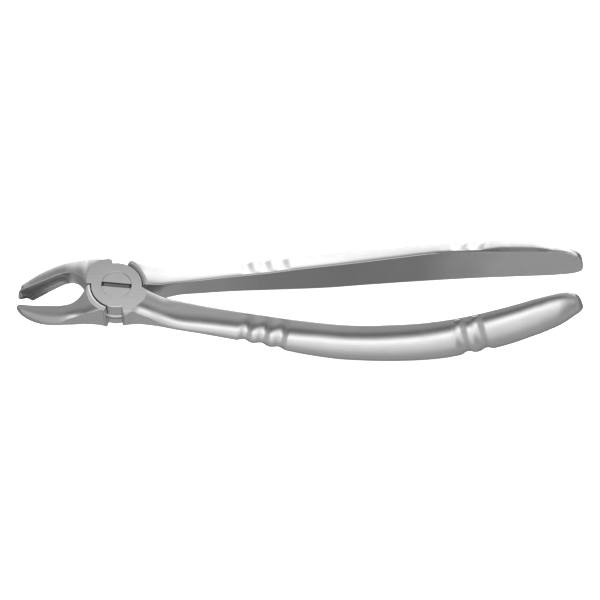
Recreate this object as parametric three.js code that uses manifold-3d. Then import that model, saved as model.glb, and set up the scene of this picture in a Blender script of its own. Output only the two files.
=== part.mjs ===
// Extraction forceps, English pattern, with a lap joint held by one slotted screw.
// Millimetres. X runs along the tool: beaks at -X, handles at +X. Z is the axis of the pivot screw.
// Three pieces: a front half (pointed beak, front lap disc, right-hand handle), a back half
// (rounded beak, back lap disc, left-hand handle) and the joint screw.
// Each half is one forging: a beak and a handle, both D-shaped in section, lofted along a shared
// bayonet curve, with flat lapped faces, notches that act as stops, and a bore for the screw.

import * as THREE from 'three';
import * as BufferGeometryUtils from 'three/addons/utils/BufferGeometryUtils.js';
import Module from 'manifold-3d';

// ---- joint -------------------------------------------------------------------------------
const JOINT_T = 9.5;          // thickness over both lapped halves
const DISC_R = 7.65;          // radius of each lap disc
const RECESS_R = 7.95;        // radius of the recess the other half's disc turns in
const LAP_GAP = 0.3;          // gap between the two lap faces
const HEAD_R = 4.5;           // screw head
const HEAD_T = 1.7;
const HEAD_SINK = 0.06;       // head sits this far under the joint face
const HEAD_CLEAR = 0.3;       // counterbore clearance, on radius and depth
const SHANK_R = 2.5;
const BORE_R = 2.8;
const SLOT_W = 1.5;
const SLOT_DEPTH = 1.1;
const SLOT_ANGLE = -5.8;      // degrees about Z
// Sectors of full thickness outside the discs, in degrees about Z from +X.
const FRONT_BEAK_SECTOR = [98.5, 176.3];
const FRONT_HANDLE_SECTOR = [-77.0, -4.9];
const BACK_BEAK_SECTOR = [179.0, 250.5];
const BACK_HANDLE_SECTOR = [-2.3, 65.0];
const SECTOR_REACH = 13;
// Ground flats on the sides of the joint: where each starts, its distance from the middle, how it opens
// out along X, how it flares at the notch and from where it opens out faster.
const EAR = { x: -1.35, y: 8.82, slope: 0, flare: 0.25, reach: 2, open: 2.8 };
const SHOULDER = { x: 3.8, y: 8.45, slope: 0, flare: 0, reach: 1, open: 1 };
const FOOT_BACK = { x: -3, y: 8.42, slope: 0.11, flare: 0.65, reach: 0.6, open: 40 };
const FOOT_FRONT = { x: 2.4, y: 8.1, slope: 0.19, flare: 1.35, reach: 1.9, open: 40 };

// ---- grip grooves across the outer face of each handle -------------------------------------
const GROOVES = [
  { x: 38.7, depth: 0.7, width: 2.5 },
  { x: 43.95, depth: 0.65, width: 2.5 },
  { x: 49.2, depth: 0.65, width: 2.5 },
  { x: 104.3, depth: 0.8, width: 2.6 },
  { x: 109.7, depth: 0.8, width: 2.6 },
];

// ---- sections ------------------------------------------------------------------------------
// Each row is one cross-section: x and z of its centre, tilt about Y in degrees, half width,
// distance of the flat inner face from the middle plane, depth outward from that face, height of
// the square edge band, edge chamfer, two exponents of the outer curve, depth of the inner flute.
const BEAK_FRONT = [
  [0, 0, 0, 9.5, -0.3, 10.2, 0.3, 0.09, 2.5, 0.4, 0],
  [-3.75, -0.05, 0, 7.35, -0.3, 10.872, 0.3, 0.132, 2.5, 0.39, 0],
  [-6.15, 0.05, 0, 5.95, -0.3, 11.195, 0.3, 0.162, 2.5, 0.38, 0],
  [-7.95, -0.025, 0, 5.175, -0.3, 11.05, 0.3, 0.18, 2.5, 0.37, 0],
  [-8.85, -0.025, 0, 4.825, 0, 10.811, 0.3, 0.216, 2.5, 0.39, 0],
  [-9.27, 0, 2, 4.6, 1.2, 9.72, 0.3, 0.216, 2.5, 0.42, 0],
  [-9.75, -0.05, 4, 4.4, 2.4, 8.428, 0.3, 0.216, 2.4, 0.44, 0],
  [-10.5, -0.195, 6, 4.145, 3.67, 7.105, 0.3, 0.204, 2.4, 0.45, 0],
  [-11.7, -0.505, 10, 3.855, 4.81, 5.893, 0.3, 0.192, 2.3, 0.46, 0.09],
  [-13.5, -0.8, 15, 3.55, 5.56, 5.094, 0.3, 0.168, 2.2, 0.48, 0.36],
  [-15.75, -1.375, 21, 3.225, 5.53, 4.87, 0.3, 0.144, 2.1, 0.48, 0.9],
  [-18.15, -2.275, 23, 3.215, 5.02, 4.97, 0.3, 0.138, 2, 0.5, 1.32],
  [-21.6, -3.71, 25, 3.36, 4.09, 4.942, 0.3, 0.138, 2, 0.5, 1.38],
  [-24.75, -5.095, 27, 3.625, 3.16, 4.288, 0.3, 0.132, 2, 0.5, 1.26],
  [-27.09, -5.905, 30, 3.675, 2.4, 3.436, 0.3, 0.12, 2, 0.5, 1.08],
  [-27.27, -5.995, 30, 3.315, 2.37, 3.335, 0.3, 0.12, 2, 0.5, 1.02],
  [-27.48, -6.145, 30, 1.845, 2.31, 3.203, 0.3, 0.12, 2, 0.5, 0.66],
  [-28.11, -6.505, 30, 1.115, 2.19, 3.286, 0.3, 0.114, 2, 0.5, 0.36],
  [-28.95, -6.99, 30, 0.74, 2.07, 3.106, 0.3, 0.09, 2, 0.5, 0.18],
  [-29.46, -7.255, 30, 0.445, 2.04, 2.71, 0.24, 0.09, 2, 0.5, 0.06],
];
const BEAK_BACK = [
  [0, 0, 0, 9.5, -0.3, 10.2, 0.3, 0.09, 2.5, 0.4, 0],
  [-3.75, -0.05, 0, 7.35, -0.3, 10.714, 0.3, 0.132, 2.5, 0.39, 0],
  [-6.15, 0.05, 0, 5.95, -0.3, 10.753, 0.3, 0.162, 2.5, 0.38, 0],
  [-7.95, -0.025, 0, 5.175, -0.303, 10.814, 0.3, 0.18, 2.5, 0.37, 0],
  [-8.85, -0.025, 0, 4.825, -0.006, 10.682, 0.3, 0.216, 2.5, 0.39, 0],
  [-9.27, 0, 2, 4.6, 1.191, 9.582, 0.3, 0.216, 2.5, 0.42, 0],
  [-9.75, -0.05, 4, 4.4, 2.387, 8.273, 0.3, 0.216, 2.4, 0.44, 0],
  [-10.5, -0.195, 6, 4.145, 3.648, 6.832, 0.3, 0.204, 2.4, 0.45, 0],
  [-11.7, -0.505, 10, 3.855, 4.763, 5.477, 0.3, 0.192, 2.3, 0.46, 0.09],
  [-13.5, -0.8, 15, 3.55, 5.447, 4.773, 0.3, 0.168, 2.2, 0.48, 0.36],
  [-15.75, -1.375, 21, 3.225, 5.315, 4.725, 0.3, 0.144, 2.1, 0.48, 0.9],
  [-18.15, -2.275, 23, 3.215, 4.775, 4.895, 0.3, 0.138, 2, 0.5, 1.32],
  [-21.6, -3.71, 25, 3.36, 3.981, 4.722, 0.3, 0.138, 2, 0.5, 1.38],
  [-24.75, -5.095, 27, 3.625, 3.141, 3.978, 0.3, 0.132, 2, 0.5, 1.26],
  [-27.09, -5.905, 30, 3.675, 2.397, 3.148, 0.3, 0.12, 2, 0.5, 1.08],
  [-27.69, -6.265, 30, 3.525, 2.249, 2.682, 0.3, 0.12, 2, 0.5, 0.9],
  [-28.41, -6.66, 30, 3.08, 2.129, 2.046, 0.3, 0.108, 2, 0.5, 0.66],
  [-28.89, -6.93, 30, 2.4, 2.1, 1.382, 0.3, 0.09, 2, 0.5, 0.42],
  [-29.19, -7.11, 30, 1.37, 2.19, 0.682, 0.3, 0.09, 2, 0.5, 0.18],
  [-29.25, -7.15, 30, 0.5, 2.28, 0.3, 0.25, 0.09, 2, 0.5, 0.05],
];
const HANDLE_FRONT = [
  [0, 0.01, 0, 9.12, -0.35, 10.04, 0.3, 0.18, 2.5, 0.4, 0],
  [3.75, 0.25, 0, 7.75, -0.26, 9.95, 0.3, 0.282, 2.5, 0.4, 0],
  [6.45, -0.29, 0, 6.19, 0.2, 9.49, 0.3, 0.36, 2.4, 0.42, 0],
  [7.95, -0.515, 0, 5.665, 0.8, 8.95, 0.3, 0.36, 2.4, 0.42, 0],
  [10.05, -0.795, 0, 5.135, 1.6, 8.48, 0.3, 0.36, 2.3, 0.44, 0],
  [13.05, -1.67, 0, 4.65, 2.25, 7.93, 0.3, 0.36, 2.2, 0.47, 0],
  [16.05, -2.485, 0, 3.955, 2.67, 7.97, 0.36, 0.36, 2.1, 0.5, 0],
  [19.05, -2.915, 0, 3.745, 3.05, 8.019, 0.45, 0.33, 2, 0.52, 0],
  [25.05, -3.675, 0, 4.045, 4.32, 7.361, 0.48, 0.3, 2, 0.52, 0],
  [31.05, -4.3, 0, 4.33, 5.34, 7.091, 0.51, 0.3, 2, 0.52, 0],
  [37.05, -4.895, 0, 4.635, 6.24, 7.041, 0.51, 0.306, 2, 0.52, 0],
  [43.05, -5.615, 0, 5.005, 7.05, 7.041, 0.54, 0.306, 2, 0.53, 0],
  [49.05, -6.335, 0, 5.515, 8.01, 7.219, 0.54, 0.312, 2, 0.53, 0],
  [55.05, -6.955, 0, 6.165, 8.97, 7.314, 0.57, 0.324, 2, 0.54, 0],
  [61.05, -7.382, 0, 6.588, 9.72, 7.29, 0.57, 0.33, 2, 0.54, 0],
  [67.05, -7.646, 0, 6.854, 10.42, 7.345, 0.6, 0.342, 2, 0.54, 0],
  [73.05, -7.405, 0, 6.935, 10.93, 7.261, 0.6, 0.36, 2, 0.54, 0],
  [79.05, -6.955, 0, 7.255, 11.3, 7.318, 0.6, 0.378, 2, 0.55, 0],
  [85.05, -6.296, 0, 7.484, 11.54, 7.345, 0.6, 0.396, 2, 0.55, 0],
  [91.05, -5.595, 0, 7.785, 11.73, 7.191, 0.6, 0.4, 2, 0.55, 0],
  [97.05, -4.52, 0, 8.2, 11.77, 7.118, 0.6, 0.4, 2, 0.55, 0],
  [103.05, -3.23, 0, 8.28, 11.44, 6.86, 0.6, 0.4, 2, 0.55, 0],
  [109.05, -1.615, 0, 8.685, 11.09, 6.625, 0.6, 0.4, 2, 0.55, 0],
  [115.05, 0.065, 0, 8.965, 10.52, 6.572, 0.6, 0.4, 2, 0.55, 0],
  [121.05, 1.925, 0, 8.735, 9.56, 6.458, 0.6, 0.4, 2, 0.55, 0],
  [127.05, 3.817, 1, 8.287, 8.42, 6.183, 0.6, 0.4, 2, 0.55, 0],
  [130.05, 4.607, 2, 7.907, 7.87, 5.793, 0.6, 0.4, 2, 0.55, 0],
  [133.05, 5.525, 5, 7.225, 7.26, 5.335, 0.6, 0.4, 2, 0.54, 0],
  [135.4, 6.125, 7, 6.275, 6.74, 4.724, 0.6, 0.4, 2, 0.53, 0],
  [137.2, 6.45, 10, 5.03, 6.36, 4.14, 0.6, 0.39, 2, 0.52, 0],
  [138.18, 6.415, 10.5, 4.285, 6.24, 3.61, 0.6, 0.36, 2, 0.5, 0],
  [138.95, 6.265, 11.5, 3.435, 6.24, 2.86, 0.6, 0.3, 2, 0.5, 0],
  [139.4, 5.885, 11.6, 2.415, 6.4, 2.1, 0.6, 0.24, 2, 0.5, 0],
  [139.65, 5.44, 11.6, 1.36, 6.7, 1.4, 0.5, 0.18, 2, 0.5, 0],
];
const HANDLE_BACK = [
  [0, -0.04, 0, 9.07, -0.35, 10.19, 0.3, 0.18, 2.5, 0.4, 0],
  [3.75, 0.35, 0, 7.85, -0.3, 10.14, 0.3, 0.282, 2.5, 0.419, 0],
  [6.45, -0.165, 0, 6.315, -0.25, 9.662, 0.3, 0.36, 2.4, 0.452, 0],
  [7.95, -0.575, 0, 5.725, 0.05, 9.3, 0.3, 0.36, 2.4, 0.46, 0],
  [10.05, -0.74, 0, 5.26, 0.4, 8.84, 0.3, 0.36, 2.3, 0.501, 0],
  [13.05, -1.15, 0, 4.65, 0.8, 8.66, 0.3, 0.36, 2.2, 0.56, 0],
  [16.05, -1.7, 0, 4.2, 1.75, 8.12, 0.36, 0.36, 2.1, 0.6, 0],
  [19.05, -2.454, 0, 3.85, 2.7, 7.8, 0.45, 0.33, 2, 0.62, 0],
  [25.05, -4.175, 0, 4.045, 4.32, 7.52, 0.48, 0.3, 2, 0.62, 0],
  [31.05, -4.808, 0, 4.322, 5.34, 7.15, 0.51, 0.3, 2, 0.62, 0],
  [37.05, -5.412, 0, 4.618, 6.24, 6.94, 0.51, 0.306, 2, 0.62, 0],
  [43.05, -6.14, 0, 4.98, 7.05, 7.19, 0.54, 0.306, 2, 0.63, 0],
  [49.05, -6.868, 0, 5.482, 8.01, 7.24, 0.54, 0.312, 2, 0.63, 0],
  [55.05, -7.497, 0, 6.123, 8.97, 7.18, 0.57, 0.324, 2, 0.64, 0],
  [61.05, -7.92, 0, 6.55, 9.72, 7.31, 0.57, 0.33, 2, 0.64, 0],
  [67.05, -8.123, 0, 6.877, 10.42, 7.34, 0.6, 0.342, 2, 0.638, 0],
  [73.05, -7.822, 0, 7.018, 10.93, 7.28, 0.6, 0.36, 2, 0.636, 0],
  [79.05, -7.33, 0, 7.38, 11.3, 7.06, 0.6, 0.378, 2, 0.645, 0],
  [85.05, -6.607, 0, 7.673, 11.54, 6.88, 0.6, 0.396, 2, 0.643, 0],
  [91.05, -5.813, 0, 8.067, 11.73, 6.71, 0.6, 0.4, 2, 0.642, 0],
  [97.05, -4.758, 0, 8.462, 11.77, 6.55, 0.6, 0.4, 2, 0.64, 0],
  [103.05, -3.843, 0, 8.167, 11.44, 7, 0.6, 0.4, 2, 0.635, 0],
  [109.05, -2.629, 0, 8.171, 11.09, 6.93, 0.6, 0.4, 2, 0.629, 0],
  [115.05, -1.394, 0, 8.006, 10.52, 7.06, 0.6, 0.4, 2, 0.624, 0],
  [121.05, 0.566, 0, 7.876, 9.56, 6.68, 0.6, 0.4, 2, 0.618, 0],
  [127.05, 2.61, 1, 7.58, 8.42, 6.39, 0.6, 0.4, 2, 0.613, 0],
  [130.05, 3.555, 2, 7.355, 7.87, 5.84, 0.6, 0.4, 2, 0.61, 0],
  [132.3, 4.402, 4, 7.002, 7.4, 5.37, 0.6, 0.4, 2, 0.585, 0],
  [132.9, 4.621, 4.5, 6.921, 7.3, 5.17, 0.6, 0.4, 2, 0.581, 0],
  [135.4, 5.546, 6, 6.446, 6.74, 4.44, 0.6, 0.4, 2, 0.554, 0],
  [137.2, 6.09, 7, 5.69, 6.36, 3.98, 0.6, 0.39, 2, 0.534, 0],
  [138.3, 6.253, 8, 4.953, 6.24, 3.65, 0.6, 0.36, 2, 0.508, 0],
  [139.05, 6.246, 8, 4.246, 6.22, 3.225, 0.6, 0.3, 2, 0.505, 0],
  [139.5, 6.171, 8, 3.371, 6.4, 2.618, 0.6, 0.24, 2, 0.502, 0],
  [139.75, 5.986, 8, 2.186, 6.8, 1.703, 0.5, 0.18, 2, 0.501, 0],
];

// Sides of a section, and spacing of the sections along X.
const SIDES_IN = 5;
const SIDES_OUT = 16;

const HALF_T = JOINT_T / 2;
const rad = (deg) => (deg * Math.PI) / 180;

// ---- section curves ------------------------------------------------------------------------
// Shape-preserving cubic through the rows of a table, so that no bulge appears between rows.
function tableCurve(rows) {
  const t = [...rows].sort((p, q) => p[0] - q[0]);
  const xs = t.map((r) => r[0]);
  const n = xs.length;
  const slopes = t.map((r) => r.map(() => 0));
  for (let c = 1; c < t[0].length; c += 1) {
    const d = [];
    for (let i = 0; i < n - 1; i += 1) d.push((t[i + 1][c] - t[i][c]) / (xs[i + 1] - xs[i]));
    slopes[0][c] = d[0];
    slopes[n - 1][c] = d[n - 2];
    for (let i = 1; i < n - 1; i += 1) {
      if (d[i - 1] * d[i] <= 0) continue;
      const h0 = xs[i] - xs[i - 1];
      const h1 = xs[i + 1] - xs[i];
      const w0 = 2 * h1 + h0;
      const w1 = h1 + 2 * h0;
      slopes[i][c] = (w0 + w1) / (w0 / d[i - 1] + w1 / d[i]);
    }
  }
  return (x) => {
    let i = 0;
    while (i < n - 2 && x > xs[i + 1]) i += 1;
    const h = xs[i + 1] - xs[i];
    const u = Math.min(Math.max((x - xs[i]) / h, 0), 1);
    const a = (1 + 2 * u) * (1 - u) * (1 - u);
    const b = u * (1 - u) * (1 - u);
    const c = u * u * (3 - 2 * u);
    const d = u * u * (u - 1);
    return t[i].map((v, k) => (k === 0 ? x : a * v + b * h * slopes[i][k] + c * t[i + 1][k] + d * h * slopes[i + 1][k]));
  };
}

function grooveDepth(x) {
  let g = 0;
  for (const { x: at, depth, width } of GROOVES) {
    const u = Math.abs(x - at) / width;
    if (u < 1) g += depth * 0.5 * (1 + Math.cos(Math.PI * u));
  }
  return g;
}

// Points of one section, going round from the front inner edge.
function sectionPoints(row, side, grooved) {
  const [xc, zc, tilt, a, yi, depth, edge, chamfer, n, m, flute] = row;
  const d = depth - (grooved ? grooveDepth(xc) : 0);
  const sin = Math.sin(rad(tilt));
  const cos = Math.cos(rad(tilt));
  const at = (w, y) => new THREE.Vector3(xc - w * sin, side * y, zc + w * cos);
  const ch = Math.min(chamfer, a * 0.4);
  const pts = [];
  for (let i = 0; i <= SIDES_IN; i += 1) {
    const u = 1 - (2 * i) / SIDES_IN;
    pts.push(at(u * (a - ch), yi + flute * (1 - u * u)));
  }
  for (let i = 0; i <= SIDES_OUT; i += 1) {
    const t = (Math.PI * i) / SIDES_OUT;
    const c = Math.cos(t);
    const w = -Math.sign(c) * a * Math.pow(Math.abs(c), 2 / n);
    const s2 = Math.max(1 - c * c, 0);
    pts.push(at(w, yi + Math.max(edge, ch) + (d - Math.max(edge, ch)) * Math.pow(s2, m)));
  }
  return pts;
}

// Closed skin through a row of sections, capped flat at both ends.
function loft(sections, flip) {
  const k = sections[0].length;
  const pos = [];
  for (const s of sections) for (const p of s) pos.push(p.x, p.y, p.z);
  const idx = [];
  const tri = (a, b, c) => (flip ? idx.push(a, c, b) : idx.push(a, b, c));
  for (let i = 0; i < sections.length - 1; i += 1) {
    for (let j = 0; j < k; j += 1) {
      const a = i * k + j;
      const b = i * k + ((j + 1) % k);
      tri(a, b, b + k);
      tri(a, b + k, a + k);
    }
  }
  const ends = [[0, true], [(sections.length - 1) * k, false]];
  for (const [base, first] of ends) {
    const c = new THREE.Vector3();
    for (let j = 0; j < k; j += 1) c.add(new THREE.Vector3(pos[(base + j) * 3], pos[(base + j) * 3 + 1], pos[(base + j) * 3 + 2]));
    c.multiplyScalar(1 / k);
    const ci = pos.length / 3;
    pos.push(c.x, c.y, c.z);
    for (let j = 0; j < k; j += 1) {
      const a = base + j;
      const b = base + ((j + 1) % k);
      if (first) tri(ci, b, a);
      else tri(ci, a, b);
    }
  }
  const g = new THREE.BufferGeometry();
  g.setAttribute('position', new THREE.Float32BufferAttribute(pos, 3));
  g.setIndex(idx);
  return g;
}

// ---- solids --------------------------------------------------------------------------------
const wasm = await Module();
wasm.setup();

function solid(geometry) {
  geometry.deleteAttribute('normal');
  geometry.deleteAttribute('uv');
  const g = BufferGeometryUtils.mergeVertices(geometry, 1e-5);
  return new wasm.Manifold(
    new wasm.Mesh({
      numProp: 3,
      vertProperties: Float32Array.from(g.attributes.position.array),
      triVerts: Uint32Array.from(g.index.array),
    }),
  );
}

function toGeometry(body) {
  const m = body.getMesh();
  const g = new THREE.BufferGeometry();
  g.setAttribute('position', new THREE.BufferAttribute(Float32Array.from(m.vertProperties), 3));
  g.setIndex(new THREE.BufferAttribute(Uint32Array.from(m.triVerts), 1));
  g.computeVertexNormals();
  return g;
}

function disc(radius, z0, z1, segments = 56) {
  const g = new THREE.CylinderGeometry(radius, radius, z1 - z0, segments);
  g.rotateX(Math.PI / 2);
  g.translate(0, 0, (z0 + z1) / 2);
  return solid(g);
}

// Slice between two angles, out to a little past the joint, extruded along Z.
function sector(from, to) {
  const mid = (from + to) / 2;
  const reach = SECTOR_REACH / Math.cos(rad((to - from) / 2));
  const shape = new THREE.Shape([
    new THREE.Vector2(0, 0),
    new THREE.Vector2(SECTOR_REACH * Math.cos(rad(from)), SECTOR_REACH * Math.sin(rad(from))),
    new THREE.Vector2(reach * Math.cos(rad(mid)), reach * Math.sin(rad(mid))),
    new THREE.Vector2(SECTOR_REACH * Math.cos(rad(to)), SECTOR_REACH * Math.sin(rad(to))),
  ]);
  const g = new THREE.ExtrudeGeometry(shape, { depth: 80, bevelEnabled: false });
  g.translate(0, 0, -40);
  return solid(g);
}

// Takes off everything near the joint that lies outside one sector.
function keepSector(body, [from, to]) {
  return body.subtract(sector(to, to + 100)).subtract(sector(from - 100, from));
}

// Everything outside a ground flat, on the side of the tool that `side` names.
function groundFlat({ x, y, slope, flare, reach, open }, side) {
  const dir = Math.sign(x);
  const at = (r) => side * (y + slope * r + flare * Math.exp(-((r / reach) ** 2)) + 0.5 * Math.max(0, r - open));
  const runs = [...new Set([0, 0.6, 1.2, 1.8, 2.6, 3.6, 6, open, 40])].sort((p, q) => p - q);
  const shape = new THREE.Shape([
    new THREE.Vector2(x - dir * 20, at(0)),
    ...runs.map((r) => new THREE.Vector2(x + dir * r, at(r))),
    new THREE.Vector2(x + dir * 40, side * 60),
    new THREE.Vector2(x - dir * 20, side * 60),
  ]);
  const g = new THREE.ExtrudeGeometry(shape, { depth: 80, bevelEnabled: false });
  g.translate(0, 0, -40);
  return solid(g);
}

// Slab between the two ground faces of the joint, wide enough to leave beaks and handles alone.
function faceTrim(sign) {
  const g = new THREE.CylinderGeometry(13.5, 13.5, 20, 72);
  g.rotateX(Math.PI / 2);
  g.translate(0, 0, sign * (HALF_T + 10));
  return solid(g);
}

function stations(lo, hi, marks) {
  const xs = new Set([lo, hi]);
  for (const [from, to, step] of marks) {
    const n = Math.max(1, Math.round((to - from) / step));
    for (let i = 0; i <= n; i += 1) {
      const x = from + ((to - from) * i) / n;
      if (x > lo && x < hi) xs.add(Math.round(x * 1000) / 1000);
    }
  }
  return [...xs].sort((p, q) => p - q);
}

function beak(side, rows) {
  const curve = tableCurve(rows);
  const lo = Math.min(...rows.map((r) => r[0]));
  const xs = stations(lo, 0, [[-28, -12, 1.8], [-12, -8, 0.8], [-8, 0, 2.6]]).concat(rows.filter((r) => r[0] < -27.2).map((r) => r[0]));
  const unique = [...new Set(xs)].sort((p, q) => p - q);
  const sections = unique.map((x) => sectionPoints(curve(x), side, false));
  return solid(loft(sections, side < 0));
}

function handle(side, rows) {
  const curve = tableCurve(rows);
  const hi = rows[rows.length - 1][0];
  const marks = [[0, 8, 2.6], [8, 20, 2], [20, 36.8, 5], [36.8, 52.5, 1.3], [52.5, 102.3, 5.5], [102.3, 113, 1.3], [113, 127, 5]];
  const xs = stations(0, hi, marks).concat(rows.filter((r) => r[0] > 127).map((r) => r[0]));
  const unique = [...new Set(xs)].sort((p, q) => p - q);
  const sections = unique.map((x) => sectionPoints(curve(x), side, true));
  return solid(loft(sections, side < 0));
}

// One half. `layer` is +1 for the half whose disc lies in front, -1 for the one behind.
function half(layer, beakSide, { beakRows, handleRows, beakSector, handleSector, beakFlat, handleFlat }) {
  const beakBody = keepSector(beak(beakSide, beakRows), beakSector).subtract(groundFlat(beakFlat, beakSide));
  const handleBody = keepSector(handle(-beakSide, handleRows), handleSector).subtract(groundFlat(handleFlat, -beakSide));
  const recess = layer > 0 ? disc(RECESS_R, -20, LAP_GAP / 2) : disc(RECESS_R, -LAP_GAP / 2, 20);
  const lap = layer > 0 ? disc(DISC_R, LAP_GAP / 2, HALF_T) : disc(DISC_R, -HALF_T, -LAP_GAP / 2);
  let body = beakBody.add(handleBody).subtract(faceTrim(1)).subtract(faceTrim(-1)).subtract(recess).add(lap);
  body = body.subtract(disc(BORE_R, -20, 20, 32));
  if (layer > 0) body = body.subtract(disc(HEAD_R + HEAD_CLEAR, HALF_T - HEAD_SINK - HEAD_T - HEAD_CLEAR, 20, 48));
  return body;
}

function screw() {
  const top = HALF_T - HEAD_SINK;
  const under = top - HEAD_T;
  const profile = [
    [0, -HALF_T], [SHANK_R, -HALF_T], [SHANK_R, under], [HEAD_R, under], [HEAD_R, top - 0.15], [HEAD_R - 0.15, top], [0, top],
  ].map(([r, z]) => new THREE.Vector2(r, z));
  const g = new THREE.LatheGeometry(profile, 40);
  g.rotateX(Math.PI / 2);
  const slot = new THREE.BoxGeometry(2 * HEAD_R + 2, SLOT_W, 2 * SLOT_DEPTH);
  slot.rotateZ(rad(SLOT_ANGLE));
  slot.translate(0, 0, top);
  return solid(g).subtract(solid(slot));
}

// ---- assembly ------------------------------------------------------------------------------
const steel = (name, shade, roughness) =>
  new THREE.MeshStandardMaterial({ name, color: new THREE.Color(shade, shade, shade * 1.01), metalness: 1, roughness });

function piece(name, body, material) {
  const mesh = new THREE.Mesh(toGeometry(body), material);
  mesh.name = name;
  return mesh;
}

const front = half(1, 1, {
  beakRows: BEAK_FRONT,
  handleRows: HANDLE_FRONT,
  beakSector: FRONT_BEAK_SECTOR,
  handleSector: FRONT_HANDLE_SECTOR,
  beakFlat: EAR,
  handleFlat: FOOT_FRONT,
});
const back = half(-1, -1, {
  beakRows: BEAK_BACK,
  handleRows: HANDLE_BACK,
  beakSector: BACK_BEAK_SECTOR,
  handleSector: BACK_HANDLE_SECTOR,
  beakFlat: FOOT_BACK,
  handleFlat: SHOULDER,
});
const forceps = new THREE.Group();
forceps.add(
  piece('front_half', front, steel('satin_steel', 0.62, 0.32)),
  piece('back_half', back, steel('satin_steel', 0.62, 0.32)),
  piece('pivot_screw', screw(), steel('screw_steel', 0.66, 0.3)),
);
// The back face of the joint is the plane z = 0, with the pivot axis through the origin.
forceps.position.z = HALF_T;

export default forceps;
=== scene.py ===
# Extraction forceps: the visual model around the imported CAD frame.
# Shapes are worked out in millimetres about the middle plane of the joint, then scaled to metres.
import math

import bpy
import numpy as np
from mathutils.geometry import tessellate_polygon
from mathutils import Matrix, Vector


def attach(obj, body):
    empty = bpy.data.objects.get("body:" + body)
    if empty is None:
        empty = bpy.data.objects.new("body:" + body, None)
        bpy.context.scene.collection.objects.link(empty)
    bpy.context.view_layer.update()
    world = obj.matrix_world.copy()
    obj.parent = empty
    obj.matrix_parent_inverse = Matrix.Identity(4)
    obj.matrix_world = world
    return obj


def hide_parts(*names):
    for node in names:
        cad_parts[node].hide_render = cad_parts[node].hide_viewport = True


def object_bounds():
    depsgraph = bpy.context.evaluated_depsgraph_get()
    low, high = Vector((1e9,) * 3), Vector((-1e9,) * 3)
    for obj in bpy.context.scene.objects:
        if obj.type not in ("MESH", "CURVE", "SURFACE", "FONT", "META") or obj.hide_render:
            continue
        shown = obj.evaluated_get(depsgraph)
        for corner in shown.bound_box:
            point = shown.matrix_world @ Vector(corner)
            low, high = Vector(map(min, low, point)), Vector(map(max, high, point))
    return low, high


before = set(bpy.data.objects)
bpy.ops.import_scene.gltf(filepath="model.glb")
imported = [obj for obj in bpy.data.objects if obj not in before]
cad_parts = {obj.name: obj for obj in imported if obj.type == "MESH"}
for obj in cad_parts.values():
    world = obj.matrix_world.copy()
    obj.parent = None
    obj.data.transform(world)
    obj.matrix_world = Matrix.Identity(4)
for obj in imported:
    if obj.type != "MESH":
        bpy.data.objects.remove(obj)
CAD_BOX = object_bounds()

# ---- dimensions, the same as the CAD's ---------------------------------------------------------
HALF_T = 4.75
BACK_T = 5.3
DISC_R = 7.65
RECESS_R = 7.95
LAP_GAP = 0.3
DISH = 0.03
HEAD_R = 4.5
HEAD_T = 1.7
HEAD_SINK = 0.06
SHANK_R = 2.5
BORE_R = 2.8
SLOT_W = 1.5
SLOT_DEPTH = 1.1
SLOT_ANGLE = -5.8
FACE_R = 13.5
# Sectors of full thickness outside the discs, in degrees about Z from +X: notch side, then the side
# that faces the tooth or the space between the handles.
FRONT_BEAK_SECTOR = (98.5, 176.3)
FRONT_HANDLE_SECTOR = (-77.0, -4.9)
BACK_BEAK_SECTOR = (250.5, 179.0)
BACK_HANDLE_SECTOR = (65.0, -2.3)
# Ground flats on the sides of the joint, one beside each notch wall: where they start, how they
# open out, how far they flare at the notch, from where they open out faster, the corner's radius
# and the lean of the notch wall.
EAR = {"x": -1.35, "y": 8.82, "slope": 0.0, "flare": 0.25, "reach": 2.0, "open": 2.8, "corner": 1.1, "lean": 0.0}
SHOULDER = {"x": 3.8, "y": 8.45, "slope": 0.0, "flare": 0.0, "reach": 1.0, "open": 1.0, "corner": 0.8, "lean": 0.0}
FOOT_BACK = {"x": -3.0, "y": 8.42, "slope": 0.11, "flare": 0.65, "reach": 0.6, "open": 40, "corner": 0.3, "lean": -0.07}
FOOT_FRONT = {"x": 2.4, "y": 8.1, "slope": 0.19, "flare": 1.35, "reach": 1.9, "open": 40, "corner": 0.7, "lean": 0.0}
GROOVES = [
    (38.7, 0.7, 2.5),
    (43.95, 0.65, 2.5),
    (49.2, 0.65, 2.5),
    (104.3, 0.85, 2.6),
    (109.7, 0.85, 2.6),
]

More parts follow.
